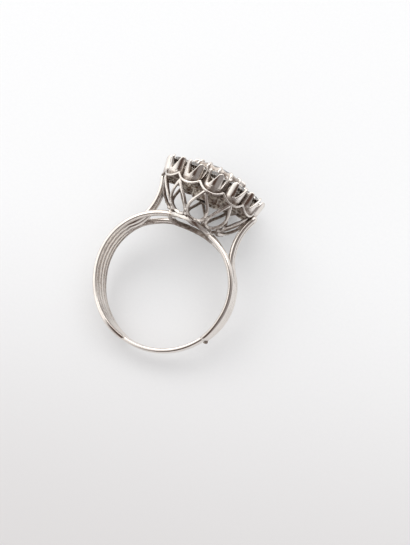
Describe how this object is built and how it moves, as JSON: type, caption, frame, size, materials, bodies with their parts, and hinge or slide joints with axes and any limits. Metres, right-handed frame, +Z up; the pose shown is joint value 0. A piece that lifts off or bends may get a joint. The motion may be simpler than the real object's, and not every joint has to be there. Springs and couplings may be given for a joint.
{
  "type": "cluster ring",
  "caption": "Finger ring with a raised round cluster head: a dark centre stone in claws, small brilliants in notched collets, an openwork basket and a wire shank with split shoulders.",
  "frame": {"origin": "on the surface the ring lies on, under the middle of its box in X and Y", "axes": "+Z up from that surface, +Y from the back of the shank towards the head, +X across the finger hole. The ring lies on its side, as a ring does by itself: the finger axis leans 12.3 degrees back from +Z, towards -Y, because two collets of the wide head and one edge of the shank touch the surface."},
  "size_m": [0.0188, 0.026, 0.0139],
  "materials": {
    "white_gold": "polished white gold, lightly worn, with grey-brown tarnish in the recesses",
    "centre_stone": "very dark blue transparent stone, faceted and polished",
    "small_stone": "colourless transparent stone, faceted and polished"
  },
  "bodies": {
    "root": {"mount": "white_gold", "centre_stone": "centre_stone", "stone_01": "small_stone", "stone_02": "small_stone", "stone_03": "small_stone", "stone_04": "small_stone", "stone_05": "small_stone", "stone_06": "small_stone", "stone_07": "small_stone", "stone_08": "small_stone", "stone_09": "small_stone", "stone_10": "small_stone", "stone_11": "small_stone", "stone_12": "small_stone"}
  },
  "joints": []
}
